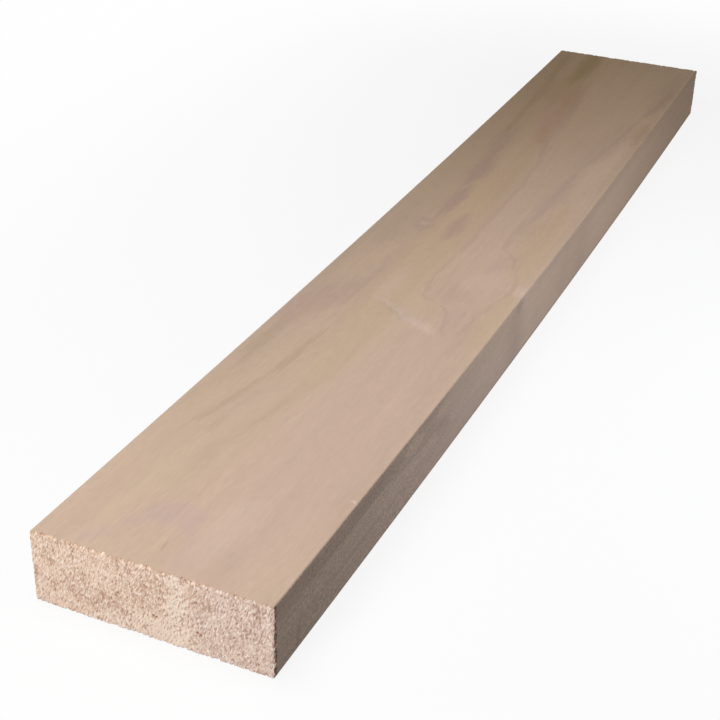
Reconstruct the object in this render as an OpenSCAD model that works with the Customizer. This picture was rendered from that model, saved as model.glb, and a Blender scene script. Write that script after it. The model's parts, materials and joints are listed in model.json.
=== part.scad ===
// Dressed hardwood plank: one piece, planed on four sides and sawn square at both ends.
// Origin at the middle of the underside, +X along the grain, +Y across the width, +Z up.

/* [Plank] */
// Length along the grain, from saw cut to saw cut
plank_length = 914; // [300:1:3000]
// Dressed width across the grain
plank_width = 140; // [60:0.5:300]
// Dressed thickness, from the underside to the top face
plank_thickness = 44.5; // [16:0.5:100]

/* [Dressing] */
// Radius that takes the sharpness off the four long arrises
arris_radius = 1.2; // [0.4:0.1:6]

/* [Hidden] */
timber_colour = "#C7AB94";
arris_fn = 48;

// How far the middle of each rounded arris lies from the middle of the section
arris_y = plank_width / 2 - arris_radius;
arris_z = plank_thickness / 2 - arris_radius;

// The dressed section about its own middle: two crossed rectangles, with a round in each corner
module dressed_section() {
    square([plank_width, 2 * arris_z], center = true);
    square([2 * arris_y, plank_thickness], center = true);
    for (y = [-arris_y, arris_y], z = [-arris_z, arris_z])
        translate([y, z]) circle(r = arris_radius, $fn = arris_fn);
}

// The section run along the grain from one saw cut to the other, resting on Z = 0
module plank() {
    color(timber_colour)
        translate([0, 0, plank_thickness / 2])
            rotate([90, 0, 90])
                linear_extrude(height = plank_length, center = true)
                    dressed_section();
}

plank();
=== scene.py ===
# %% [markdown]
# A dressed hardwood plank.
# The object is one length of planed timber lying flat: four smooth faces and two rough saw cuts. The
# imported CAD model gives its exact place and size, so the lesson starts by loading it as a fixed frame. It
# could be shown as it is, but its two ends are flat. A new mesh with the same box stands in for it, fine
# enough at both ends to hold the torn fibres that a saw leaves.

# %% Load the frame
import json
import math

import bmesh
import bpy
from mathutils import Matrix, Vector, noise

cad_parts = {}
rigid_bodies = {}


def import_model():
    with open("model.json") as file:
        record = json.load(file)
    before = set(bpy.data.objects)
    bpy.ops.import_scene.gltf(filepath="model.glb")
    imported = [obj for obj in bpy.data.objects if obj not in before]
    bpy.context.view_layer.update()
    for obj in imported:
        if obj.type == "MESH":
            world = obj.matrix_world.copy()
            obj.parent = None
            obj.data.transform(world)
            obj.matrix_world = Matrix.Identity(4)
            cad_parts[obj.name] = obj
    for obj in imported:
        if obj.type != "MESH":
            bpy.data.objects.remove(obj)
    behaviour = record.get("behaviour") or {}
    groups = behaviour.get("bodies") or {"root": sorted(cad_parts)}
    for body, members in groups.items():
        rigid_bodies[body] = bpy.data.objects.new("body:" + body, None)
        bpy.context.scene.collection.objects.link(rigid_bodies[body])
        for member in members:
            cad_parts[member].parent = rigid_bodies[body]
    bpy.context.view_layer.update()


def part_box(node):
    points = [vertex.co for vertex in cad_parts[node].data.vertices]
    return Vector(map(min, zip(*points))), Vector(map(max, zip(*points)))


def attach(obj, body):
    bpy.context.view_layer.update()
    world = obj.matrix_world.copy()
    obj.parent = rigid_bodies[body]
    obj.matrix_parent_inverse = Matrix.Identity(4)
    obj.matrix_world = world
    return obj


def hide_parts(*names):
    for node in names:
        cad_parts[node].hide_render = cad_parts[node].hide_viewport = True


for leftover in list(bpy.data.objects):
    bpy.data.objects.remove(leftover)
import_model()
low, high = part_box("plank")
length, width, thickness = high - low
MM = 0.001
print("Plank in the frame, mm:", [round(side / MM, 1) for side in (length, width, thickness)])

# %% [markdown]
# The camera.
# The plank runs away from the viewer, so perspective tells most of its shape. The lens and place were
# worked out from the plank's corners and long edges, with a real section of 140 by 44.5 mm, seen a little
# from the right and from above. A camera could be aimed with a Track To constraint, but the slight roll
# of a hand-held picture would be lost, so its turn is written out as three angles.

# %% Place the camera
CAMERA_PLACE = (-0.9222, -0.312, 0.4787)
CAMERA_TURN_DEG = (60.36, -1.4, -65.8)
CAMERA_LENS_MM = 70.55
SENSOR_MM = 36.0

camera_data = bpy.data.cameras.new("studio_camera")
camera_data.sensor_width = SENSOR_MM
camera_data.lens = CAMERA_LENS_MM
camera = bpy.data.objects.new("studio_camera", camera_data)
camera.location = CAMERA_PLACE
camera.rotation_euler = [math.radians(angle) for angle in CAMERA_TURN_DEG]
bpy.context.scene.collection.objects.link(camera)
bpy.context.scene.camera = camera
print("Camera at", CAMERA_PLACE, "with a lens of", CAMERA_LENS_MM, "mm")

# %% [markdown]
# The blank.
# A plank is a section run along the grain. The section is made as a fine grid, because both of its ends
# will be roughened, and it is stood up at the far saw cut and extruded to the near one. Starting from a
# cube and cutting it would need hundreds of cuts for the same grid. The long edges are then subdivided,
# so that the plank can take the gentle bow of real timber.

# %% Extrude the section
CELL_ACROSS = 0.3 * MM
CELL_UP = 0.5 * MM
LENGTH_CUTS = 12

cells_across = round(width / CELL_ACROSS)
cells_through = round(thickness / CELL_UP)
middle = (low + high) / 2
stand_up = Matrix((
    (0, 0, 1, high.x),
    (width, 0, 0, middle.y),
    (0, thickness, 0, middle.z),
    (0, 0, 0, 1),
))
blank = bmesh.new()
torn_layer = blank.verts.layers.float.new("torn")
bmesh.ops.create_grid(blank, x_segments=cells_across, y_segments=cells_through, size=0.5)
bmesh.ops.transform(blank, matrix=stand_up, verts=blank.verts)
run = bmesh.ops.extrude_face_region(blank, geom=blank.faces[:])
near_points = [part for part in run["geom"] if isinstance(part, bmesh.types.BMVert)]
bmesh.ops.translate(blank, verts=near_points, vec=(-length, 0, 0))
long_edges = [edge for edge in blank.edges if edge.calc_length() > length / 2]
bmesh.ops.subdivide_edges(blank, edges=long_edges, cuts=LENGTH_CUTS)
bmesh.ops.recalc_face_normals(blank, faces=blank.faces[:])
open_edges = sum(not edge.is_manifold for edge in blank.edges)
print("Blank:", len(blank.faces), "faces,", open_edges, "open edges")

# %% [markdown]
# Faces and saw cuts.
# The planed faces and the sawn ends take different finishes, so each face gets its material slot while
# the ends are still flat and easy to tell by their normal. The edge where a saw cut meets a planed face
# is sharp, and everything else is shaded smooth.

# %% Tell the saw cuts from the planed faces
PLANED, SAWN = 0, 1
FACING = 0.9

for face in blank.faces:
    face.smooth = True
    face.material_index = SAWN if abs(face.normal.x) > FACING else PLANED
for edge in blank.edges:
    slots = {face.material_index for face in edge.link_faces}
    edge.smooth = len(slots) == 1
sawn_faces = [face for face in blank.faces if face.material_index == SAWN]
near_end_points = {point for face in sawn_faces if face.normal.x < 0 for point in face.verts}
far_end_points = {point for face in sawn_faces if face.normal.x > 0 for point in face.verts}
print("Saw cuts:", len(sawn_faces), "faces on both ends")

# %% [markdown]
# Arrises and crook.
# A planer leaves an edge sharp enough to cut a hand, so the four long arrises are eased to a small round.
# Timber also moves as it dries, so a sawn plank is seldom dead straight. This one has a slight crook, a
# sideways bow in the plane of its face. A bevel and a bend modifier would do both on a plain box. Here
# the grid lines run closer together than the round is wide, so each point in a corner is drawn in towards
# the middle of the round instead, and every point is shifted along a shallow curve, which keeps the grid
# whole.

# %% Ease the arrises and add the crook
ARRIS_RADIUS = 1.2 * MM
CROOK = 3.0 * MM


def eased(point):
    """Draw a point in a square corner in to the rounded arris."""
    from_middle = point - middle
    into_corner_y = abs(from_middle.y) - (width / 2 - ARRIS_RADIUS)
    into_corner_z = abs(from_middle.z) - (thickness / 2 - ARRIS_RADIUS)
    if into_corner_y <= 0 or into_corner_z <= 0:
        return point.y, point.z
    pull = max(into_corner_y, into_corner_z) / math.hypot(into_corner_y, into_corner_z)
    y = point.y - math.copysign(into_corner_y * (1 - pull), from_middle.y)
    z = point.z - math.copysign(into_corner_z * (1 - pull), from_middle.z)
    return y, z


for point in blank.verts:
    point.co.y, point.co.z = eased(point.co)
    along = 2 * (point.co.x - middle.x) / length
    point.co.y -= CROOK * (1 - along * along)
print("Arris radius", ARRIS_RADIUS / MM, "mm, crook", CROOK / MM, "mm")

# %% [markdown]
# Torn end grain.
# A saw tears the fibres that it crosses, and leaves upright tufts like grains of rice, with dark creases
# between them. They are real relief here, because light that grazes the end shows every tuft. A Displace
# modifier with a cloud texture gives lumps of any shape. Voronoi cells that are stretched upright give
# grains and creases, so each point of the cut asks how far it lies from the edge of its own grain. How deep
# it lies is kept as an attribute, so that the creases can be given a painted brown shade.

# %% Roughen the saw cuts
TUFT_WIDE = 0.85 * MM
TUFT_TALL = 2.2 * MM
TUFT_LEAN = 0.3
CREASE = 0.35
TORN_DEPTH = 0.55 * MM
PROUD = 0.2 * MM
CLUMP = 7.0 * MM
FINE = 0.45 * MM
TEAR_LEAST = 0.28
CREASE_SHARE, SUNK_SHARE, CLUMP_SHARE, FINE_SHARE = 0.42, 0.3, 0.25, 0.2
SUNK_SPREAD = 7.3


def torn_share(y, z, seed):
    """How deep the saw tore here: 0 on top of a tuft, 1 at the bottom of a crease."""
    place = Vector(((y + TUFT_LEAN * z) / TUFT_WIDE, z / TUFT_TALL, seed))
    gaps, grains = noise.voronoi(place)
    crease = max(0.0, 1 - (gaps[1] - gaps[0]) / CREASE)
    sunk = noise.cell(grains[0] * SUNK_SPREAD)
    clump = noise.noise(Vector((y / CLUMP, z / CLUMP, seed)))
    fine = noise.noise(Vector((y / FINE, z / (2 * FINE), seed)))
    share = TEAR_LEAST + CREASE_SHARE * crease + SUNK_SHARE * sunk + CLUMP_SHARE * clump + FINE_SHARE * fine
    return min(1.0, max(0.0, share))


print("Tufts of", TUFT_WIDE / MM, "by", TUFT_TALL / MM, "mm, torn", TORN_DEPTH / MM, "mm deep")

# %% [markdown]
# Broken edges and pin holes.
# Where the saw left the timber, the last fibres broke away, most of all along the right edge and the
# underside. Two insects bored a pair of pin holes each in the near end. Both are more depth at chosen
# places, so they are added to the tear before the points are moved, and that depth also gives their hollows
# a painted shade.

# %% Break the edges and sink the pin holes
BREAK_SPACING = 1.7 * MM
BREAK_REACH = 1.2 * MM
BREAK_DEPTH = 1.6 * MM
CHIP_SEED, CHIP_GAIN = 5, 1.6
RIGHT_SHARE, LOW_SHARE, TOP_SHARE, LEFT_SHARE = 3.0, 0.7, 1.3, 0.3
HOLE_RADIUS = 1.0 * MM
HOLE_DEPTH = 2.0 * MM
PIN_HOLES = ((97.0, 13.0), (98.8, 12.2), (72.0, 15.0), (73.7, 14.4))
NEAR_SEED, FAR_SEED = 3.7, 41.3
# How much the broken edges and the pin holes add to the torn share, which is painted as shade in their
# hollows
CHIP_SHADE, HOLE_SHADE = 0.35, 2.5


def broken_share(y, z, seed):
    """Where the last fibres broke away along an edge of the cut: 0 inside, up to 1 at the edge."""
    to_side = width / 2 - abs(y - middle.y)
    to_face = thickness / 2 - abs(z - middle.z)
    to_edge = min(to_side, to_face)
    if to_edge > BREAK_REACH:
        return 0.0
    chip = noise.noise(Vector((y / BREAK_SPACING, z / BREAK_SPACING, seed + CHIP_SEED)))
    if to_side < to_face:
        share = RIGHT_SHARE if y < middle.y else LEFT_SHARE
    else:
        share = LOW_SHARE if z < middle.z else TOP_SHARE
    return share * max(0.0, CHIP_GAIN * chip) * (1 - to_edge / BREAK_REACH)


def hole_share(y, z):
    """How deep a pin hole is here: 1 in its middle."""
    reach = [math.hypot(high.y - across * MM - y, low.z + up * MM - z) for across, up in PIN_HOLES]
    return max(0.0, 1 - min(reach) / HOLE_RADIUS)


for points, inward, seed in ((near_end_points, 1, NEAR_SEED), (far_end_points, -1, FAR_SEED)):
    for point in points:
        y, z = point.co.y, point.co.z
        torn = torn_share(y, z, seed)
        chipped = broken_share(y, z, seed)
        bored = hole_share(y, z) if seed == NEAR_SEED else 0.0
        # Broken edges and pin holes raise the torn share, which paints shade in their hollows
        point[torn_layer] = min(1.0, torn + CHIP_SHADE * chipped + HOLE_SHADE * bored)
        point.co.x += inward * (torn * TORN_DEPTH - PROUD + chipped * BREAK_DEPTH + bored * HOLE_DEPTH)
print("Roughened", len(near_end_points) + len(far_end_points), "points, with", len(PIN_HOLES), "pin holes")

# %% [markdown]
# The finished piece.
# A bmesh is a workbench, and nothing on it shows until it becomes a mesh on an object. The object stays
# at the origin, unturned and unscaled, with its place in its mesh, so that every pattern drawn in object
# coordinates stays where it belongs. Moving the object instead would slide the patterns along the timber.

# %% Make the piece
plank_mesh = bpy.data.meshes.new("timber_plank")
blank.to_mesh(plank_mesh)
blank.free()
plank = bpy.data.objects.new("timber_plank", plank_mesh)
bpy.context.scene.collection.objects.link(plank)
plank_mesh.calc_loop_triangles()
print("Plank mesh:", len(plank_mesh.loop_triangles), "triangles")

# %% [markdown]
# Helpers for node trees.
# A finish is a tree of nodes. It could be wired by hand in the Shader Editor, or with a line of code for
# every node and link, but then the recipe would be hard to see. A few short helpers keep each tree
# readable. They place a node and feed its inputs, do arithmetic, lay one colour over another through a
# mask, step softly from one value to another, and start or use a node group with named sockets. The last
# one turns a paint chart's colour into light.

# %% Node helpers


def feed(tree, socket, value):
    """Link a socket to another one, or set it to a plain value."""
    if isinstance(value, bpy.types.NodeSocket):
        tree.links.new(value, socket)
    else:
        socket.default_value = value


def place_node(tree, kind, inputs=None, **settings):
    """Place a node with its settings, and feed the inputs that are named."""
    made = tree.nodes.new(kind)
    for name, value in settings.items():
        setattr(made, name, value)
    for name, value in (inputs or {}).items():
        feed(tree, made.inputs[name], value)
    return made


def calc(tree, operation, *terms):
    """One step of arithmetic on numbers or sockets."""
    made = place_node(tree, "ShaderNodeMath", operation=operation)
    for socket, term in zip(made.inputs, terms):
        feed(tree, socket, term)
    return made.outputs[0]


def lay_over(tree, mask, under, over, blend="MIX"):
    """Lay one colour over another where the mask is white."""
    made = place_node(tree, "ShaderNodeMix", data_type="RGBA", blend_type=blend)
    factor, first, second = made.inputs[0], made.inputs[6], made.inputs[7]
    feed(tree, factor, mask)
    feed(tree, first, under)
    feed(tree, second, over)
    return made.outputs[2]


def part_way(tree, share, start, end):
    """A place that lies a share of the way from one place to another."""
    made = place_node(tree, "ShaderNodeMix", data_type="VECTOR")
    factor, first, second = made.inputs[0], made.inputs[4], made.inputs[5]
    feed(tree, factor, share)
    feed(tree, first, start)
    feed(tree, second, end)
    return made.outputs[1]


def soft_step(tree, value, start, end, low_value=0.0, high_value=1.0):
    """A smooth change from one value to another as a number goes from start to end."""
    made = place_node(tree, "ShaderNodeMapRange", interpolation_type="SMOOTHSTEP")
    for name, number in (("Value", value), ("From Min", start), ("From Max", end),
                         ("To Min", low_value), ("To Max", high_value)):
        feed(tree, made.inputs[name], number)
    return made.outputs["Result"]


def start_group(name, inputs, outputs):
    """A new shader node group with named sockets. Gives the group and its inner ends."""
    group = bpy.data.node_groups.new(name, "ShaderNodeTree")
    for label, kind in inputs:
        group.interface.new_socket(label, in_out="INPUT", socket_type=kind)
    for label, kind in outputs:
        group.interface.new_socket(label, in_out="OUTPUT", socket_type=kind)
    entry = group.nodes.new("NodeGroupInput")
    leave = group.nodes.new("NodeGroupOutput")
    return group, entry.outputs, leave.inputs


def use_group(tree, group, inputs):
    """Place a node group in a tree with its own values."""
    made = place_node(tree, "ShaderNodeGroup", node_tree=group)
    for name, value in inputs.items():
        feed(tree, made.inputs[name], value)
    return made.outputs


def paint(red, green, blue):
    """A colour as a paint chart gives it, 0 to 255, turned into the linear light that shaders use."""
    shares = [part / 255 for part in (red, green, blue)]
    light = [s / 12.92 if s <= 0.04045 else ((s + 0.055) / 1.055) ** 2.4 for s in shares]
    return (*light, 1.0)


VALUE, VECTOR = "NodeSocketFloat", "NodeSocketVector"
print("Node helpers are ready")

# %% [markdown]
# Wandering grain.
# No line in timber is straight: the tree swayed and the rings wandered as they grew, and the edge of a
# stain frays along the fibres. This group takes a place on the plank and shifts it by four waves of
# noise, from long sways to fine feathering, all stretched along the grain. Every mark that is drawn at
# the shifted place then wanders and frays in the same way, which is simpler than giving each mark its own
# noise.

# %% Group for wandering grain
# How finely a noise is broken up, and the value that it varies about
FINE_DETAIL, MIDDLE_DETAIL, PLAIN_DETAIL = 3.0, 2.0, 1.0
NOISE_MIDDLE = 0.5
# How many waves to a metre along, across and through, and how far they shift a place
GRAIN_WAVES = {
    "sway": ((2.6, 16.0, 16.0), (10 * MM, 6 * MM, 6 * MM)),
    "wander": ((13.0, 60.0, 60.0), (6 * MM, 5 * MM, 5 * MM)),
    "fray": ((20.0, 260.0, 260.0), (1 * MM, 6 * MM, 6 * MM)),
    "feather": ((70.0, 520.0, 520.0), (7 * MM, 4 * MM, 4 * MM)),
}

sway_group, entry, leave = start_group("wandering_grain", [("Place", VECTOR)], [("Place", VECTOR)])
shifted = entry["Place"]
for wave, shift in GRAIN_WAVES.values():
    stretched = place_node(sway_group, "ShaderNodeVectorMath", operation="MULTIPLY")
    feed(sway_group, stretched.inputs[0], entry["Place"])
    feed(sway_group, stretched.inputs[1], wave)
    clouds = place_node(sway_group, "ShaderNodeTexNoise",
                        {"Vector": stretched.outputs[0], "Scale": 1.0, "Detail": MIDDLE_DETAIL})
    centred = place_node(sway_group, "ShaderNodeVectorMath", operation="SUBTRACT")
    feed(sway_group, centred.inputs[0], clouds.outputs["Color"])
    feed(sway_group, centred.inputs[1], 3 * (NOISE_MIDDLE,))
    scaled = place_node(sway_group, "ShaderNodeVectorMath", operation="MULTIPLY_ADD")
    feed(sway_group, scaled.inputs[0], centred.outputs[0])
    feed(sway_group, scaled.inputs[1], shift)
    feed(sway_group, scaled.inputs[2], shifted)
    shifted = scaled.outputs[0]
feed(sway_group, leave["Place"], shifted)
print("Group", sway_group.name, "with", len(sway_group.nodes), "nodes")

# %% [markdown]
# Grain lenses.
# Where a flat saw cut meets a growth layer or a stain, it shows as a pointed lens, because both are drawn
# out along the trunk. This group gives the fill of one such lens at a place, with its half length, half
# width and turn, and an edge that is soft or sharp. Drawing each lens once keeps every mark where it
# belongs, which a single noise texture can't do.

# %% Group for one grain lens
lens_group, entry, leave = start_group(
    "grain_lens",
    [("Place", VECTOR), ("Along", VALUE), ("Across", VALUE), ("Half Length", VALUE),
     ("Half Width", VALUE), ("Turn", VALUE), ("Soft", VALUE)],
    [("Fill", VALUE)],
)
parts = place_node(lens_group, "ShaderNodeSeparateXYZ", {"Vector": entry["Place"]}).outputs
ahead = calc(lens_group, "SUBTRACT", parts["X"], entry["Along"])
aside = calc(lens_group, "SUBTRACT", parts["Y"], entry["Across"])
turn_cos = calc(lens_group, "COSINE", entry["Turn"])
turn_sin = calc(lens_group, "SINE", entry["Turn"])
own_long = calc(lens_group, "MULTIPLY_ADD", ahead, turn_cos, calc(lens_group, "MULTIPLY", aside, turn_sin))
own_wide = calc(lens_group, "SUBTRACT", calc(lens_group, "MULTIPLY", aside, turn_cos),
                calc(lens_group, "MULTIPLY", ahead, turn_sin))
long_share = calc(lens_group, "DIVIDE", own_long, entry["Half Length"])
wide_share = calc(lens_group, "ABSOLUTE", calc(lens_group, "DIVIDE", own_wide, entry["Half Width"]))
reach = calc(lens_group, "MULTIPLY_ADD", long_share, long_share, wide_share)
inner_reach = calc(lens_group, "SUBTRACT", 1.0, entry["Soft"])
outer_reach = calc(lens_group, "ADD", 1.0, entry["Soft"])
feed(lens_group, leave["Fill"], soft_step(lens_group, reach, inner_reach, outer_reach, 1.0, 0.0))
print("Group", lens_group.name, "with", len(lens_group.nodes), "nodes")

# %% [markdown]
# Fibres and pores.
# Close up, planed timber is a bundle of straws: hair-fine lines along the grain, broader light and dark
# streaks, short flecks, and dark pores where a vessel was cut open. Noise that is stretched along the
# grain gives all four, and a wide, slow noise gives the clouds of tint that every board has.

# %% Group for fibres and pores
FIBRE_STRETCH = (9.0, 900.0, 900.0)
STREAK_STRETCH = (2.4, 85.0, 85.0)
FLECK_STRETCH = (110.0, 420.0, 420.0)
PORE_STRETCH = (70.0, 1700.0, 1700.0)
CLOUD_STRETCH = (9.0, 34.0, 34.0)
PORE_START, PORE_END = 0.66, 0.76

fibre_group, entry, leave = start_group(
    "fibres_and_pores", [("Place", VECTOR)],
    [("Fibres", VALUE), ("Streaks", VALUE), ("Flecks", VALUE), ("Pores", VALUE), ("Clouds", VALUE)])


def stretched_noise(tree, place, stretch, detail):
    """Noise that is drawn out along the grain."""
    drawn = place_node(tree, "ShaderNodeVectorMath", operation="MULTIPLY")
    feed(tree, drawn.inputs[0], place)
    feed(tree, drawn.inputs[1], stretch)
    inputs = {"Vector": drawn.outputs[0], "Scale": 1.0, "Detail": detail}
    return place_node(tree, "ShaderNodeTexNoise", inputs).outputs["Fac"]


PLAIN_NOISES = (
    ("Fibres", FIBRE_STRETCH, FINE_DETAIL),
    ("Streaks", STREAK_STRETCH, FINE_DETAIL),
    ("Flecks", FLECK_STRETCH, MIDDLE_DETAIL),
    ("Clouds", CLOUD_STRETCH, MIDDLE_DETAIL),
)
for label, stretch, detail in PLAIN_NOISES:
    feed(fibre_group, leave[label], stretched_noise(fibre_group, entry["Place"], stretch, detail))
pore_noise = stretched_noise(fibre_group, entry["Place"], PORE_STRETCH, PLAIN_DETAIL)
feed(fibre_group, leave["Pores"], soft_step(fibre_group, pore_noise, PORE_START, PORE_END))
print("Group", fibre_group.name, "with", len(fibre_group.nodes), "nodes")

# %% [markdown]
# The figure of the planed faces.
# The wood is a pale pinkish tan. Grey-green sapwood lies to the right, its paleness partly painted light,
# and darker heartwood to the far left, with soft stains of mauve, honey and brown. The stains are grain
# lenses, listed by where a joiner would measure them on the top face: so far from the near end and so far
# from the left edge. The list runs roughly from the near end to the far end, and a later lens lies over an
# earlier one.

# %% Colours and stains of the planed faces
TAN = paint(208, 181, 157)
HONEY = paint(206, 177, 148)
PINK = paint(206, 177, 159)
MAUVE = paint(201, 171, 156)
MAUVE_BROWN = paint(189, 160, 144)
RED_BROWN = paint(199, 167, 149)
ORANGE_BROWN = paint(194, 163, 139)
HEART_BROWN = paint(180, 152, 124)
OLIVE = paint(184, 160, 137)
GREY_GREEN = paint(212, 185, 163)
LAVENDER = paint(216, 188, 170)
PALE = paint(223, 195, 178)
FLASH_GREY = paint(205, 182, 165)
LILAC = paint(202, 173, 163)
DEEP_OLIVE = paint(168, 143, 104)

# name: along, across, half length, half width in mm, turn in degrees, softness, colour, share
STAINS = {
    "heartwood": (700, -8, 540, 52, 2, 0.8, OLIVE, 0.75),
    # Grey-green sapwood, and painted light that makes the right of the far half paler
    "sapwood_and_painted_light": (760, 150, 560, 66, 2, 0.6, GREY_GREEN, 0.65),
    "pink_wash": (150, 108, 170, 34, -1, 0.8, PINK, 0.9),
    "crescent": (44, 60, 19, 11, -76, 0.3, LILAC, 0.62),
    "crescent_tip": (31, 44, 10, 4, -40, 0.8, LILAC, 0.55),
    "crescent_foot": (36, 71, 9, 5, 30, 0.9, LILAC, 0.5),
    "crescent_tail": (12, 32, 12, 4, -30, 0.9, LILAC, 0.45),
    "crescent_band": (16, 80, 18, 6, 0, 0.9, LILAC, 0.4),
    "olive_wash": (20, 99, 22, 8, 0, 0.9, OLIVE, 0.25),
    "dark_fleck": (18, 68, 4, 1.0, 10, 0.8, HEART_BROWN, 0.5),
    "lavender_wash": (42, 89, 34, 9, 0, 0.9, LAVENDER, 0.5),
    "pale_nick": (97.5, 137, 3, 0.8, 50, 0.6, PALE, 1.0),
    "first_streak": (160, 29, 50, 2.6, -12, 0.8, HEART_BROWN, 0.4),
    "streak_shade": (130, 34, 12, 1.6, -4, 0.8, OLIVE, 0.4),
    "streak_run": (228, 41, 36, 2.4, -2, 0.9, HEART_BROWN, 0.5),
    "low_streak": (160, 56, 46, 1.8, -6, 0.9, MAUVE_BROWN, 0.25),
    "teal_patch": (232, 14, 34, 5, 0, 0.9, OLIVE, 0.8),
    "purple_patch": (290, 16, 38, 9, -6, 0.8, MAUVE_BROWN, 0.85),
    "purple_low": (314, 31, 28, 8, -4, 0.9, MAUVE_BROWN, 0.8),
    "thin_line": (362, 37, 56, 2.8, 0, 0.9, MAUVE_BROWN, 0.85),
    "honey_band": (422, 58, 240, 19, 1, 0.7, HONEY, 0.8),
    "honey_left": (376, 25, 40, 8, -8, 0.9, HONEY, 0.5),
    "left_shade": (230, 46, 200, 21, 0, 0.9, OLIVE, 0.22),
    "flash_grey": (304, 81, 24, 4.5, 57, 0.8, FLASH_GREY, 0.7),
    "pale_flash": (293, 97, 13, 4.5, 57, 0.9, PALE, 0.55),
    "flash_top": (315, 62, 14, 3, 57, 0.9, LAVENDER, 0.35),
    "flash_line": (308, 68, 16, 1.6, 57, 0.9, OLIVE, 0.35),
    "flash_bend": (343, 55, 30, 7, 0, 0.9, LAVENDER, 0.35),
    "honey_lens": (318, 93, 14, 8, 60, 0.9, HONEY, 0.5),
    "nose_shade": (320, 113, 38, 9, 3, 0.7, MAUVE, 0.4),
    "inside_shade": (346, 98, 18, 8, 10, 0.9, MAUVE_BROWN, 0.45),
    "outer_tan": (322, 135, 50, 7, 2, 0.8, HONEY, 0.7),
    "edge_glow": (378, 116, 22, 12, -40, 0.9, LAVENDER, 0.5),
    "edge_spot": (370, 137, 9, 8, 0, 0.9, PALE, 0.8),
    "tongue_shade": (404, 113, 22, 8, -20, 0.9, MAUVE, 0.7),
    "teal_edge": (428, 15, 28, 9, 0, 0.9, OLIVE, 0.6),
    "left_lift": (570, 10, 210, 14, 1, 0.9, TAN, 0.3),
    "eye": (446, 35, 14, 9, 8, 0.5, MAUVE_BROWN, 0.7),
    "eye_light": (449, 36, 5, 3, -30, 0.9, LAVENDER, 0.35),
    "eye_streak": (496, 40, 36, 5.5, -3, 0.7, MAUVE_BROWN, 0.9),
    "brown_patch": (452, 60, 28, 6, 0, 0.8, MAUVE_BROWN, 0.8),
    "tan_wedge": (442, 127, 85, 12, 3, 0.7, HONEY, 0.7),
    "mauve_run": (566, 37, 36, 8, 0, 0.8, MAUVE_BROWN, 0.95),
    "mauve_tail": (632, 31, 50, 6, 4, 0.8, MAUVE_BROWN, 0.85),
    "tan_far": (608, 52, 44, 9, 3, 0.8, TAN, 0.6),
    "dark_thread": (712, 25, 60, 2.6, 4, 0.8, HEART_BROWN, 0.55),
    "thread_end": (788, 21, 50, 5, 5, 0.9, HEART_BROWN, 0.65),
    "low_mauve": (534, 107, 66, 6, -3, 0.9, MAUVE, 1.0),
    "light_foot": (628, 127, 70, 9, -4, 0.8, PALE, 0.5),
    "red_heart": (708, 55, 40, 14, 6, 0.5, RED_BROWN, 0.95),
    "orange_tip": (666, 60, 24, 7, 14, 0.8, ORANGE_BROWN, 0.8),
    "mauve_foot": (664, 112, 70, 13, -8, 0.6, MAUVE, 0.7),
    "orange_foot": (712, 135, 30, 5, 0, 0.9, ORANGE_BROWN, 0.6),
    "orange_heart": (775, 53, 46, 10, 6, 0.7, ORANGE_BROWN, 0.95),
    "heart_rim": (740, 65, 95, 2.6, 5, 0.8, MAUVE_BROWN, 0.8),
    "olive_heart": (785, 36, 50, 7, 4, 0.9, HEART_BROWN, 0.5),
    "mauve_low": (826, 128, 66, 8, 0, 0.8, MAUVE_BROWN, 0.75),
    "pale_far": (820, 78, 70, 12, 3, 0.8, LAVENDER, 0.5),
    "heart_streak": (880, 39, 74, 8, 2, 0.8, DEEP_OLIVE, 0.9),
    "corner_line": (862, 14, 60, 3, 4, 0.9, HEART_BROWN, 0.7),
}
print("Planed faces carry", len(STAINS), "stains")

# %% [markdown]
# Growth lines.
# Three growth lines tell how the board was cut: two that meet in a nose, a third of the way along, and
# hold a pale tongue of sapwood between them, and one along the heartwood on the left, whose bends the
# fibres follow. A lens can't bend, so each line is a Float Curve node drawn through a few places along
# the plank.

# %% Growth lines through a few places, in mm along and across
NOSE_LEFT = ((0, 117), (280, 117), (294, 110), (318, 104), (329, 93), (340, 80), (362, 77), (461, 79),
             (600, 77), (653, 68), (740, 63), (830, 55), (914, 46))
NOSE_RIGHT = ((0, 117), (280, 117), (300, 122), (337, 126), (370, 131), (400, 123), (420, 114), (438, 105),
              (520, 107), (600, 111), (718, 124), (914, 136))
HEART_LINE = ((0, 10), (117, 18), (160, 26), (210, 36), (430, 37), (543, 35), (668, 28), (784, 21),
              (882, 13), (914, 10))
RING_LINE = paint(186, 156, 142)
RING_HALF = 3.0 * MM
TONGUE_SOFT = 2.5 * MM
TONGUE_START, TONGUE_END = 300 * MM, 430 * MM
NOSE_START, NOSE_END = 281 * MM, 296 * MM


def growth_line(tree, along_share, places):
    """How far across from the left edge a growth line lies, in metres."""
    made = place_node(tree, "ShaderNodeFloatCurve", {"Value": along_share})
    line = made.mapping.curves[0]
    shares = [(along * MM / length, across * MM / width) for along, across in places]
    line.points[0].location = shares[0]
    line.points[1].location = shares[-1]
    for share_along, share_across in shares[1:-1]:
        line.points.new(share_along, share_across)
    made.mapping.update()
    return calc(tree, "MULTIPLY", made.outputs["Value"], width)


def near_line(tree, across, line, half):
    """A thin mask along a growth line."""
    away = calc(tree, "ABSOLUTE", calc(tree, "SUBTRACT", across, line))
    return soft_step(tree, away, 0.0, half, 1.0, 0.0)


print("Growth lines:", len(NOSE_LEFT), len(NOSE_RIGHT), len(HEART_LINE), "places")

# %% [markdown]
# Marks on the right edge.
# The narrow edge in shade has marks of its own: a darker strip under the arris by the near end, which
# ends in a curl, cross bands in the middle and one scratch. They are lenses again, measured along from
# the near end and down from the top face, and a mask on the surface normal keeps them to that edge.

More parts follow.
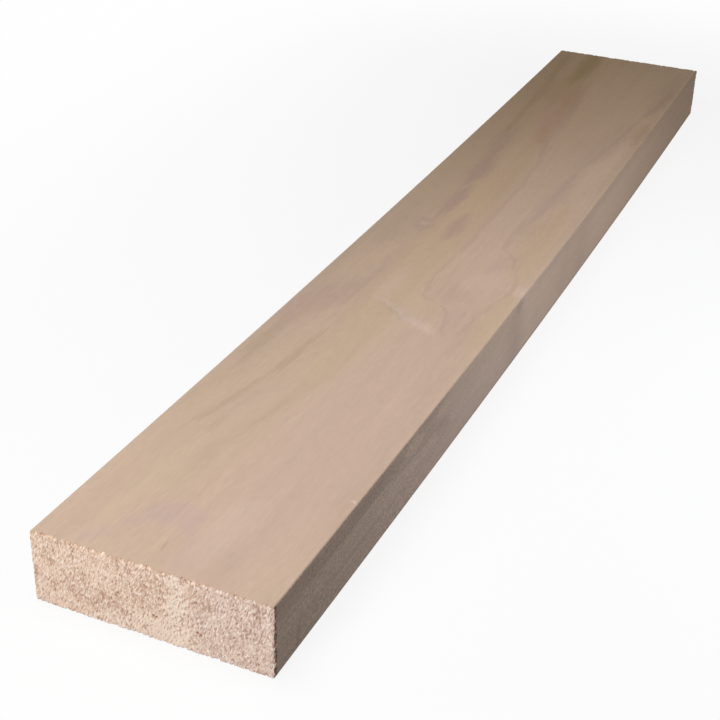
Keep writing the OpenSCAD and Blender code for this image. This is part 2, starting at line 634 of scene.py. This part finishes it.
# %% Marks on the right edge
EDGE_TAN = paint(206, 180, 159)
SHADE = paint(190, 164, 145)
# Dark marks on the edge, and the painted shade along its bottom
DARK_MARK_AND_SHADE = paint(160, 136, 120)

# name: along, down, half length, half height in mm, turn in degrees, softness, colour, share
EDGE_MARKS = {
    "dark_strip": (50, 2, 180, 11.2, 0, 0.12, SHADE, 0.9),
    "strip_light": (90, 18, 120, 5, 0, 0.4, GREY_GREEN, 0.6),
    "strip_shade": (122, 6, 36, 5, -2, 0.9, DARK_MARK_AND_SHADE, 0.3),
    "strip_line": (160, 14, 46, 1.6, -4, 0.9, SHADE, 0.8),
    "edge_lift": (210, 28, 140, 17, 0, 0.9, PALE, 0.35),
    "curl_shade": (196, 10, 13, 7, 20, 0.8, SHADE, 0.6),
    "curl_tail": (216, 19, 16, 6, -20, 0.9, SHADE, 0.7),
    "curl_light": (170, 7, 11, 5, 10, 0.9, GREY_GREEN, 0.9),
    "curl_tip": (218, 10, 9, 4, 0, 0.9, GREY_GREEN, 0.8),
    "fine_line": (62, 26, 72, 0.9, 0, 0.9, SHADE, 0.4),
    "low_line": (60, 34, 60, 0.8, 0, 0.9, SHADE, 0.4),
    "cross_shade": (351, 18, 32, 15, 88, 0.9, SHADE, 0.65),
    "cross_spot": (357, 4, 7, 5, 0, 0.9, DARK_MARK_AND_SHADE, 0.4),
    "under_arris": (590, 0, 280, 8, 0, 0.9, SHADE, 0.7),
    "cross_light": (383, 22, 34, 11, 87, 0.9, GREY_GREEN, 0.5),
    "cross_glow": (373, 6, 7, 6, 0, 0.9, GREY_GREEN, 0.7),
    "first_band": (465, 17, 34, 9, 88, 0.9, SHADE, 0.4),
    "second_band": (505, 20, 44, 16, 88, 0.9, SHADE, 0.6),
    "middle_shade": (490, 20, 56, 60, 0, 0.9, SHADE, 0.45),
    "upper_shade": (795, 3, 100, 12, 0, 0.9, SHADE, 0.55),
    "far_shade": (880, 4, 150, 20, -4, 0.9, SHADE, 0.8),
    "scratch": (25, 36, 9, 2.0, 89, 0.9, DARK_MARK_AND_SHADE, 0.45),
    # Painted shade darkens the bottom edge of the side
    "low_edge_shade": (457, 44.5, 520, 2.2, 0, 0.8, DARK_MARK_AND_SHADE, 0.7),
}
print("Right edge carries", len(EDGE_MARKS), "marks")

# %% [markdown]
# The tree for the planed faces.
# The stains are laid over the tan one after another, then the tongue and its growth lines, and the wood
# browns a little towards the far end. Fibres and pores go over everything, and they follow the bend of
# the heart line. The layers lean through the thickness, so the underside shows the same growth further
# across. The fibres also raise the surface by a hair, through a Bump node.

# %% Helpers for the finishes


def new_material(name):
    """An empty material. Gives the material, its tree and its surface shader."""
    material = bpy.data.materials.new(name)
    material.use_nodes = True
    tree = material.node_tree
    tree.nodes.clear()
    shader = tree.nodes.new("ShaderNodeBsdfPrincipled")
    output = tree.nodes.new("ShaderNodeOutputMaterial")
    tree.links.new(shader.outputs["BSDF"], output.inputs["Surface"])
    return material, tree, shader


def contrast(tree, value, strength):
    """Noise about one half turned into a grey about one, for multiplying."""
    return calc(tree, "MULTIPLY_ADD", calc(tree, "SUBTRACT", value, NOISE_MIDDLE), 2 * strength, 1.0)


def times(tree, colour, factor):
    """A colour multiplied by a grey or by another colour."""
    return lay_over(tree, 1.0, colour, factor, "MULTIPLY")


def lay_lens(tree, place, under, middle_at, half_sizes, turn, soft, colour, share, mask=1.0):
    """Lay one grain lens over a colour."""
    lens = use_group(tree, lens_group, {
        "Place": place, "Along": middle_at[0], "Across": middle_at[1],
        "Half Length": half_sizes[0] * MM, "Half Width": half_sizes[1] * MM,
        "Turn": math.radians(turn), "Soft": soft})
    strength = calc(tree, "MULTIPLY", lens["Fill"], share)
    return lay_over(tree, calc(tree, "MULTIPLY", strength, mask), under, colour)


print("Finish helpers are ready")

# %% Material for the planed faces
LAYER_LEAN = 0.8
FLOW_START, FLOW_END = 50 * MM, 105 * MM
CLOUD_LOW, CLOUD_HIGH = 0.25, 0.75
CLOUD_SHARE = 0.5

planed, tree, shader = new_material("planed_timber")
coords = place_node(tree, "ShaderNodeTexCoord").outputs
sway = use_group(tree, sway_group, {"Place": coords["Object"]})["Place"]
place = place_node(tree, "ShaderNodeSeparateXYZ", {"Vector": sway}).outputs
below_top = calc(tree, "SUBTRACT", high.z, place["Z"])
leaned = calc(tree, "MULTIPLY_ADD", below_top, LAYER_LEAN, place["Y"])
layers = place_node(tree, "ShaderNodeCombineXYZ", {"X": place["X"], "Y": leaned}).outputs[0]
along = calc(tree, "SUBTRACT", place["X"], low.x)
along_share = calc(tree, "DIVIDE", along, length)
across = calc(tree, "SUBTRACT", high.y, leaned)

heart_line = growth_line(tree, along_share, HEART_LINE)
bend_share = soft_step(tree, across, FLOW_START, FLOW_END, 1.0, 0.0)
flow_y = calc(tree, "MULTIPLY_ADD", heart_line, bend_share, place["Y"])
flow_parts = {"X": place["X"], "Y": flow_y, "Z": place["Z"]}
flow = place_node(tree, "ShaderNodeCombineXYZ", flow_parts).outputs[0]
grain = use_group(tree, fibre_group, {"Place": flow})

olive_clouds = soft_step(tree, grain["Clouds"], NOISE_MIDDLE, CLOUD_HIGH, 0.0, CLOUD_SHARE)
pink_clouds = soft_step(tree, grain["Clouds"], NOISE_MIDDLE, CLOUD_LOW, 0.0, CLOUD_SHARE)
colour = lay_over(tree, olive_clouds, TAN, OLIVE)
colour = lay_over(tree, pink_clouds, colour, PINK)
for at, across_mm, half_long, half_wide, turn, soft, stain, share in STAINS.values():
    spot = (low.x + at * MM, high.y - across_mm * MM)
    colour = lay_lens(tree, layers, colour, spot, (half_long, half_wide), turn, soft, stain, share)
print("Stains laid with", len(tree.nodes), "nodes")

# %% [markdown]
# Tongue and growth lines.
# Between the two lines that meet in the nose lies the pale tongue. Its mask is the product of two soft
# steps, one past each line. A painted picture could hold it as well, but it would blur close up, and
# steps stay sharp at any size. The streaks of the grain break the lines themselves, as they do in real
# timber.

# %% Tongue and growth lines
TONGUE_SHARE = 0.4
LINE_BROKEN, LINE_WHOLE, LINE_FAINTEST = 0.4, 0.6, 0.25
RING_SHARE = 0.42

left_of_tongue = growth_line(tree, along_share, NOSE_LEFT)
right_of_tongue = growth_line(tree, along_share, NOSE_RIGHT)
past_nose = soft_step(tree, along, NOSE_START, NOSE_END)
inside_left = soft_step(tree, calc(tree, "SUBTRACT", across, left_of_tongue), -TONGUE_SOFT, TONGUE_SOFT)
inside_right = soft_step(tree, calc(tree, "SUBTRACT", right_of_tongue, across), -TONGUE_SOFT, TONGUE_SOFT)
tongue = calc(tree, "MULTIPLY", calc(tree, "MULTIPLY", inside_left, inside_right), past_nose)
paler = soft_step(tree, along, TONGUE_START, TONGUE_END, 0.0, TONGUE_SHARE)
colour = lay_over(tree, calc(tree, "MULTIPLY", tongue, paler), colour, GREY_GREEN)
broken = soft_step(tree, grain["Streaks"], LINE_BROKEN, LINE_WHOLE, LINE_FAINTEST, 1.0)
for line in (left_of_tongue, right_of_tongue):
    mark = calc(tree, "MULTIPLY", near_line(tree, across, line, RING_HALF), broken)
    mark = calc(tree, "MULTIPLY", mark, past_nose)
    colour = lay_over(tree, calc(tree, "MULTIPLY", mark, RING_SHARE), colour, RING_LINE)
print("Tongue and lines laid with", len(tree.nodes), "nodes")

# %% [markdown]
# The right edge.
# The edge takes a tan of its own, and then its marks. They wander less than the stains, because a machine
# left most of them, so they are drawn only part of the way from the plain place to the shifted one. A
# separate material could be given to the edge, but the arris would then show a hard seam between the two.

# %% Right edge
EDGE_FACING = -0.6
EDGE_SHARE = 0.85
EDGE_SWAY = 0.25

facing = place_node(tree, "ShaderNodeSeparateXYZ", {"Vector": coords["Normal"]}).outputs
on_edge = calc(tree, "LESS_THAN", facing["Y"], EDGE_FACING)
colour = lay_over(tree, calc(tree, "MULTIPLY", on_edge, EDGE_SHARE), colour, EDGE_TAN)
steady = part_way(tree, EDGE_SWAY, coords["Object"], sway)
steady = place_node(tree, "ShaderNodeSeparateXYZ", {"Vector": steady}).outputs
edge_place = place_node(tree, "ShaderNodeCombineXYZ", {"X": steady["X"], "Y": steady["Z"]}).outputs[0]
for at, down, half_long, half_tall, turn, soft, mark_colour, share in EDGE_MARKS.values():
    spot = (low.x + at * MM, high.z - down * MM)
    half_sizes = (half_long, half_tall)
    colour = lay_lens(tree, edge_place, colour, spot, half_sizes, turn, soft, mark_colour, share, on_edge)
print("Edge marks laid with", len(tree.nodes), "nodes")

# %% [markdown]
# Fibres and painted shade.
# The last layers lie over everything. Fibres, streaks and flecks multiply the colour by a grey near one,
# which keeps its hue, where mixing in a grey would dull it. The right edge was planed more roughly by the
# near end, and that roughness fades along the plank. The arrises get a painted shade, a little darker along
# each round.

# %% Fibres, rough edge and painted shade on the arrises
FAR_BROWN = paint(246, 235, 210)
BROWN_FROM = 0.35
BROWN_START, BROWN_END, BROWN_LEAST = 40 * MM, 115 * MM, 0.75
FIBRE_CONTRAST = 0.06
STREAK_CONTRAST = 0.07
FLECK_CONTRAST = 0.08
STIPPLE_STRETCH = (600.0, 900.0, 900.0)
STIPPLE_CONTRAST = 0.55
PLANER_STRETCH = (6.0, 460.0, 460.0)
PLANER_CONTRAST = 0.25
ROUGH_START, ROUGH_END, ROUGH_LEAST = 110 * MM, 330 * MM, 0.25
PORE_DARK = paint(150, 122, 100)
PORE_SHARE = 0.1
ARRIS_SHADE = 0.15

towards_far = soft_step(tree, along_share, BROWN_FROM, 1.0)
browned = soft_step(tree, across, BROWN_START, BROWN_END, 1.0, BROWN_LEAST)
towards_far = calc(tree, "MULTIPLY", towards_far, browned)
colour = lay_over(tree, towards_far, colour, times(tree, colour, FAR_BROWN))
shade = calc(tree, "MULTIPLY", contrast(tree, grain["Fibres"], FIBRE_CONTRAST),
             contrast(tree, grain["Streaks"], STREAK_CONTRAST))
shade = calc(tree, "MULTIPLY", shade, contrast(tree, grain["Flecks"], FLECK_CONTRAST))
colour = times(tree, colour, shade)
stipple = stretched_noise(tree, coords["Object"], STIPPLE_STRETCH, PLAIN_DETAIL)
planer_lines = stretched_noise(tree, coords["Object"], PLANER_STRETCH, MIDDLE_DETAIL)
rough = calc(tree, "MULTIPLY", contrast(tree, stipple, STIPPLE_CONTRAST),
             contrast(tree, planer_lines, PLANER_CONTRAST))
rough_share = soft_step(tree, along, ROUGH_START, ROUGH_END, 1.0, ROUGH_LEAST)
rough_share = calc(tree, "MULTIPLY", on_edge, rough_share)
colour = lay_over(tree, rough_share, colour, times(tree, colour, rough))
colour = lay_over(tree, calc(tree, "MULTIPLY", grain["Pores"], PORE_SHARE), colour, PORE_DARK)
# Y times Z of a normal is one half in the middle of an arris, so four times its square is one there
corner = calc(tree, "MULTIPLY", facing["Y"], facing["Z"])
# Painted shade along the four arrises, darkest in the middle of each round
arris_shade = calc(tree, "MULTIPLY", calc(tree, "MULTIPLY", corner, corner), 4 * ARRIS_SHADE)
colour = times(tree, colour, calc(tree, "SUBTRACT", 1.0, arris_shade))
print("Fibres and wear laid with", len(tree.nodes), "nodes")

# %% [markdown]
# Fringe and surface.
# Along each saw cut the planed faces end in a ragged fringe of broken fibres, rust on the faces, and on the
# right edge dark with the painted shade of the broken notches. A noise less the distance from the cut gives
# it: near the cut most of the noise stays above the limit, and further in only its peaks do. The fibres
# also set how rough and how high the surface is.

# %% Fringe along the saw cuts
TOP_FRINGE, EDGE_FRINGE = 8.0 * MM, 6.0 * MM
TOP_SPARSE = 0.35
FRINGE_SCALE = 330.0
FRINGE_START, FRINGE_END = 0.05, 0.3
FRINGE_SHARE = 0.8
RUST_FRINGE = paint(206, 166, 130)
NOTCH_SHADE = paint(92, 70, 56)

spot_inputs = {"Vector": coords["Object"], "Scale": FRINGE_SCALE, "Detail": PLAIN_DETAIL}
spots = place_node(tree, "ShaderNodeTexNoise", spot_inputs).outputs["Fac"]
plain_x = place_node(tree, "ShaderNodeSeparateXYZ", {"Vector": coords["Object"]}).outputs["X"]
from_middle = calc(tree, "ABSOLUTE", calc(tree, "SUBTRACT", plain_x, middle.x))
to_end = calc(tree, "SUBTRACT", length / 2, from_middle)
fringe_reach = soft_step(tree, on_edge, 0.0, 1.0, TOP_FRINGE, EDGE_FRINGE)
sparse = soft_step(tree, on_edge, 0.0, 1.0, TOP_SPARSE, 0.0)
ragged = calc(tree, "SUBTRACT", spots, calc(tree, "DIVIDE", to_end, fringe_reach))
ragged = calc(tree, "SUBTRACT", ragged, sparse)
fringe = soft_step(tree, ragged, FRINGE_START, FRINGE_END)
# On the right edge the fringe is painted shade of the broken notches
fringe_colour = lay_over(tree, on_edge, RUST_FRINGE, NOTCH_SHADE)
colour = lay_over(tree, calc(tree, "MULTIPLY", fringe, FRINGE_SHARE), colour, fringe_colour)
print("Fringe reaches", TOP_FRINGE / MM, "mm on the faces and", EDGE_FRINGE / MM, "mm on the edge")

# %% Surface of the planed faces
PLANED_ROUGHNESS, ROUGHNESS_SPREAD = 0.56, 0.16
PLANED_SHINE = 0.25
PORE_DEPTH = 0.6
PLANED_RELIEF, PLANED_HEIGHT = 0.2, 0.1 * MM

roughness = calc(tree, "MULTIPLY_ADD", grain["Fibres"], ROUGHNESS_SPREAD, PLANED_ROUGHNESS)
relief = calc(tree, "SUBTRACT", grain["Fibres"], calc(tree, "MULTIPLY", grain["Pores"], PORE_DEPTH))
bump_inputs = {"Height": relief, "Strength": PLANED_RELIEF, "Distance": PLANED_HEIGHT}
bump = place_node(tree, "ShaderNodeBump", bump_inputs)
feed(tree, shader.inputs["Base Color"], colour)
feed(tree, shader.inputs["Roughness"], roughness)
feed(tree, shader.inputs["Normal"], bump.outputs["Normal"])
shader.inputs["Specular IOR Level"].default_value = PLANED_SHINE
plank_mesh.materials.append(planed)
print("Material", planed.name, "with", len(tree.nodes), "nodes")

# %% [markdown]
# Sawn end grain.
# End grain is paler than the planed faces, because the torn tufts catch the light, and that light is
# painted on as highlights on the tufts. It is freckled with dark pores and with the painted brown shade of
# its creases. The creases come from the depth that was kept while roughening. Broad zones of cream, peach
# and mauve are grain lenses again, measured across from the left edge and up from the underside. The saw
# scorched a thin rust rim along the top and left edges. Along the right and lower ones it left bites,
# painted dark as the shade in their broken hollows.

# %% Colours and zones of the saw cuts
CREAM = paint(240, 218, 198)
PEACH = paint(232, 202, 179)
END_MAUVE = paint(224, 197, 182)
END_BROWN = paint(212, 178, 156)
CREASE_SHADE = paint(156, 114, 90)
PORE_BROWN = paint(164, 114, 86)
TUFT_HIGHLIGHT = paint(250, 236, 223)
RUST = paint(220, 182, 148)

# name: across from the left and up in mm, half sizes in mm, turn in degrees, softness, colour, share
END_ZONES = {
    "mauve_right": (122, 22, 32, 70, 0, 0.45, END_MAUVE, 1.0),
    "cream_foot": (68, 7, 28, 9, 0, 0.9, CREAM, 0.7),
    "cream_band": (85, 22, 7, 60, 0, 0.7, CREAM, 0.9),
    "brown_slope": (33, 14, 26, 6, 8, 0.9, END_BROWN, 0.6),
    "brown_rise": (57, 24, 15, 8, -25, 0.9, END_BROWN, 0.6),
    "brown_heart": (71, 34, 11, 11, 0, 0.9, END_BROWN, 0.7),
    "brown_right": (97, 33, 8, 6, 0, 0.9, END_BROWN, 0.8),
}
print("Saw cuts carry", len(END_ZONES), "zones")

# %% Material for the saw cuts
RIM_REACH = 1.8 * MM
RIM_SHARE = 0.4

sawn, tree, shader = new_material("sawn_end_grain")
coords = place_node(tree, "ShaderNodeTexCoord").outputs["Object"]
sway = use_group(tree, sway_group, {"Place": coords})["Place"]
place = place_node(tree, "ShaderNodeSeparateXYZ", {"Vector": sway}).outputs
face_place = place_node(tree, "ShaderNodeCombineXYZ", {"X": place["Y"], "Y": place["Z"]}).outputs[0]
colour = PEACH
for across_mm, up, half_wide, half_tall, turn, soft, zone, share in END_ZONES.values():
    spot = (high.y - across_mm * MM, low.z + up * MM)
    colour = lay_lens(tree, face_place, colour, spot, (half_wide, half_tall), turn, soft, zone, share)
from_top = calc(tree, "SUBTRACT", high.z, place["Z"])
from_left = calc(tree, "SUBTRACT", high.y, place["Y"])
rim = soft_step(tree, calc(tree, "MINIMUM", from_top, from_left), 0.0, RIM_REACH, RIM_SHARE, 0.0)
colour = lay_over(tree, rim, colour, RUST)
print("Zones and rim laid with", len(tree.nodes), "nodes")

# %% [markdown]
# Tufts, creases and pores.
# Each tuft has a painted highlight on its tip and each crease a painted brown shade on its floor, and
# vessels that were cut across show as brown dots. The tips and dots are noise stretched upright, with the
# same lean as the tufts of the mesh. The creases read the depth that the mesh kept, because a second noise
# would not fall on the real hollows, and the crests that stand proud get a painted cream highlight.

# %% Tufts, creases and pores
DASH_STRETCH = (300.0, 1050.0, 400.0)
DASH_CONTRAST = 0.2
TIP_START, TIP_END, TIP_SHARE = 0.48, 0.64, 0.85
CREASE_START, CREASE_END, CREASE_DARK = 0.5, 1.0, 0.75
CREST_START, CREST_END, CREST_LIGHT = 0.45, 0.15, 0.4
END_PORE_STRETCH = (300.0, 950.0, 420.0)
END_PORE_START, END_PORE_END, END_PORE_SHARE = 0.57, 0.67, 0.65

plain = place_node(tree, "ShaderNodeSeparateXYZ", {"Vector": coords}).outputs
leaned = calc(tree, "MULTIPLY_ADD", plain["Z"], TUFT_LEAN, plain["Y"])
tuft_parts = {"X": plain["X"], "Y": leaned, "Z": plain["Z"]}
tuft_place = place_node(tree, "ShaderNodeCombineXYZ", tuft_parts).outputs[0]
dashes = stretched_noise(tree, tuft_place, DASH_STRETCH, MIDDLE_DETAIL)
colour = times(tree, colour, contrast(tree, dashes, DASH_CONTRAST))
# Painted highlights on the tips of the tufts
tip_highlights = soft_step(tree, dashes, TIP_START, TIP_END, 0.0, TIP_SHARE)
colour = lay_over(tree, tip_highlights, colour, TUFT_HIGHLIGHT)
torn = place_node(tree, "ShaderNodeAttribute", attribute_name="torn").outputs["Fac"]
# Painted brown shade in the creases, from the kept depth
crease_shade = soft_step(tree, torn, CREASE_START, CREASE_END, 0.0, CREASE_DARK)
colour = lay_over(tree, crease_shade, colour, CREASE_SHADE)
# Painted cream highlight on the crests that stand proud
crest_highlights = soft_step(tree, torn, CREST_START, CREST_END, 0.0, CREST_LIGHT)
colour = lay_over(tree, crest_highlights, colour, CREAM)
pore_noise = stretched_noise(tree, tuft_place, END_PORE_STRETCH, PLAIN_DETAIL)
pores = soft_step(tree, pore_noise, END_PORE_START, END_PORE_END, 0.0, END_PORE_SHARE)
colour = lay_over(tree, pores, colour, PORE_BROWN)
print("Tufts, creases and pores laid with", len(tree.nodes), "nodes")

# %% Bites along the rim, and surface of the saw cuts
BITE_SCALE = 420.0
BITE_REACH = 3.0 * MM
UNDER_RATIO = 2.5
BITE_START, BITE_END, BITE_SHARE = 0.38, 0.54, 0.85
SAWN_ROUGHNESS, SAWN_SPREAD = 0.85, 0.1
SAWN_SHINE = 0.15
SAWN_RELIEF, SAWN_HEIGHT = 0.4, 0.3 * MM

chip_inputs = {"Vector": coords, "Scale": BITE_SCALE, "Detail": PLAIN_DETAIL}
chips = place_node(tree, "ShaderNodeTexNoise", chip_inputs).outputs["Fac"]
from_right = calc(tree, "SUBTRACT", plain["Y"], low.y)
from_under = calc(tree, "MULTIPLY", calc(tree, "SUBTRACT", plain["Z"], low.z), UNDER_RATIO)
to_rim = calc(tree, "DIVIDE", calc(tree, "MINIMUM", from_right, from_under), BITE_REACH)
bites = soft_step(tree, calc(tree, "SUBTRACT", chips, to_rim), BITE_START, BITE_END, 0.0, BITE_SHARE)
# Painted shade in the bites along the right and lower rims
colour = lay_over(tree, bites, colour, NOTCH_SHADE)
bump_inputs = {"Height": dashes, "Strength": SAWN_RELIEF, "Distance": SAWN_HEIGHT}
bump = place_node(tree, "ShaderNodeBump", bump_inputs)
feed(tree, shader.inputs["Base Color"], colour)
feed(tree, shader.inputs["Roughness"], calc(tree, "MULTIPLY_ADD", torn, SAWN_SPREAD, SAWN_ROUGHNESS))
feed(tree, shader.inputs["Normal"], bump.outputs["Normal"])
shader.inputs["Specular IOR Level"].default_value = SAWN_SHINE
plank_mesh.materials.append(sawn)
print("Material", sawn.name, "with", len(tree.nodes), "nodes")

# %% [markdown]
# Floor.
# The plank lies on a plain pale floor, one wide square. The floor shows the camera a white glow and keeps
# the plank's shadow, and it throws only a little light back at the timber. The lamps alone could make the
# floor white, but then they would be too strong for the plank. The glow grows with the distance from the
# plank, up to the white of the sky, so that no horizon shows, and close by the plank the weaker glow is a
# painted grey halo of shade.

# %% Floor
FLOOR_HALF = 12.0
FLOOR_DROP = 0.3 * MM

floor_mesh = bpy.data.meshes.new("studio_floor")
slab = bmesh.new()
bmesh.ops.create_grid(slab, x_segments=1, y_segments=1, size=FLOOR_HALF)
bmesh.ops.translate(slab, verts=slab.verts, vec=(0, 0, low.z - FLOOR_DROP))
slab.to_mesh(floor_mesh)
slab.free()
floor = bpy.data.objects.new("studio_floor", floor_mesh)
bpy.context.scene.collection.objects.link(floor)
print("Floor:", 2 * FLOOR_HALF, "m square")

# %% Glow of the floor
# The weaker glow close by the plank paints a soft grey halo of shade around it
GLOW_NEAR, GLOW_FAR = 0.88, 0.99
GLOW_START, GLOW_END = 0.02, 0.5
FLOOR_SEEN = (0.92, 0.92, 0.92, 1.0)
FLOOR_BOUNCE = (0.17, 0.17, 0.17, 1.0)
WHITE = (1.0, 1.0, 1.0, 1.0)


def seen_directly(tree):
    """One for rays from the camera, a mirror or glass, and none for the light on the object."""
    rays = place_node(tree, "ShaderNodeLightPath").outputs
    mirrored = calc(tree, "MAXIMUM", rays["Is Glossy Ray"], rays["Is Transmission Ray"])
    return calc(tree, "MAXIMUM", rays["Is Camera Ray"], mirrored)


floor_material = bpy.data.materials.new("pale_floor")
floor_material.use_nodes = True
tree = floor_material.node_tree
tree.nodes.clear()
seen = seen_directly(tree)
spot = place_node(tree, "ShaderNodeTexCoord").outputs["Object"]
spot = place_node(tree, "ShaderNodeSeparateXYZ", {"Vector": spot}).outputs
past_end = calc(tree, "SUBTRACT", calc(tree, "ABSOLUTE", spot["X"]), length / 2)
past_end = calc(tree, "MAXIMUM", past_end, 0.0)
past_side = calc(tree, "SUBTRACT", calc(tree, "ABSOLUTE", spot["Y"]), width / 2)
past_side = calc(tree, "MAXIMUM", past_side, 0.0)
side_square = calc(tree, "MULTIPLY", past_side, past_side)
away = calc(tree, "SQRT", calc(tree, "MULTIPLY_ADD", past_end, past_end, side_square))
glow_share = soft_step(tree, away, GLOW_START, GLOW_END, GLOW_NEAR, GLOW_FAR)
floor_colour = lay_over(tree, seen, FLOOR_BOUNCE, FLOOR_SEEN)
matt = place_node(tree, "ShaderNodeBsdfDiffuse", {"Color": floor_colour})
glow = place_node(tree, "ShaderNodeEmission", {"Color": WHITE, "Strength": 1.0})
blend = place_node(tree, "ShaderNodeMixShader", {"Fac": calc(tree, "MULTIPLY", seen, glow_share)})
tree.links.new(matt.outputs[0], blend.inputs[1])
tree.links.new(glow.outputs[0], blend.inputs[2])
output = tree.nodes.new("ShaderNodeOutputMaterial")
tree.links.new(blend.outputs[0], output.inputs["Surface"])
floor_mesh.materials.append(floor_material)
print("Floor glows from", GLOW_NEAR, "by the plank to", GLOW_FAR, "far from it")

# %% [markdown]
# World and lamps.
# The sky looks white but gives only a little light. A soft key lamp hangs over the near half, to the left,
# so its light falls off along the plank and the right edge stays in shade. A weaker lamp on the right
# lifts the middle of that edge, a low one in front lights the end grain, and one behind keeps the hidden
# sides readable. One big dome of light would be simpler, but it would lose the falloff along the plank.

# %% World
AMBIENT = 0.05

world = bpy.data.worlds.new("studio_world")
bpy.context.scene.world = world
world.use_nodes = True
tree = world.node_tree
tree.nodes.clear()
strength = calc(tree, "MULTIPLY_ADD", seen_directly(tree), GLOW_FAR - AMBIENT, AMBIENT)
sky = place_node(tree, "ShaderNodeBackground", {"Color": WHITE, "Strength": strength})
output = tree.nodes.new("ShaderNodeOutputWorld")
tree.links.new(sky.outputs[0], output.inputs["Surface"])
bpy.context.scene.view_settings.view_transform = "Standard"
print("World at", AMBIENT)

# %% Lamps
WHITE_LIGHT = (1.0, 1.0, 1.0)
SHADE_LIGHT = (0.97, 1.0, 1.08)
# name: place, aim, size in metres, watts, colour
LAMPS = {
    "key_lamp": ((-0.385, 0.12, 0.7), (-0.285, 0.0, 0.03), 0.4, 3.28, WHITE_LIGHT),
    "front_lamp": ((-1.05, 0.05, 0.2), (-0.457, 0.0, 0.022), 0.25, 3.4, WHITE_LIGHT),
    "side_lamp": ((0.0, -0.5, 0.23), (0.0, -0.07, 0.02), 0.3, 1.2, SHADE_LIGHT),
    "back_lamp": ((1.1, 0.9, 0.1), (0.1, 0.07, 0.02), 0.15, 5.0, WHITE_LIGHT),
}

for name, (spot, aim, size, watts, light_colour) in LAMPS.items():
    lamp_data = bpy.data.lights.new(name, "AREA")
    lamp_data.size = size
    lamp_data.energy = watts
    lamp_data.color = light_colour
    lamp = bpy.data.objects.new(name, lamp_data)
    lamp.location = spot
    lamp.rotation_euler = (Vector(aim) - Vector(spot)).to_track_quat("-Z", "Y").to_euler()
    lamp.visible_camera = False
    bpy.context.scene.collection.objects.link(lamp)
print("Lamps:", ", ".join(LAMPS))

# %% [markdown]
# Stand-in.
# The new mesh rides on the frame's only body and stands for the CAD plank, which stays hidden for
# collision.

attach(plank, "root")
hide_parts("plank")
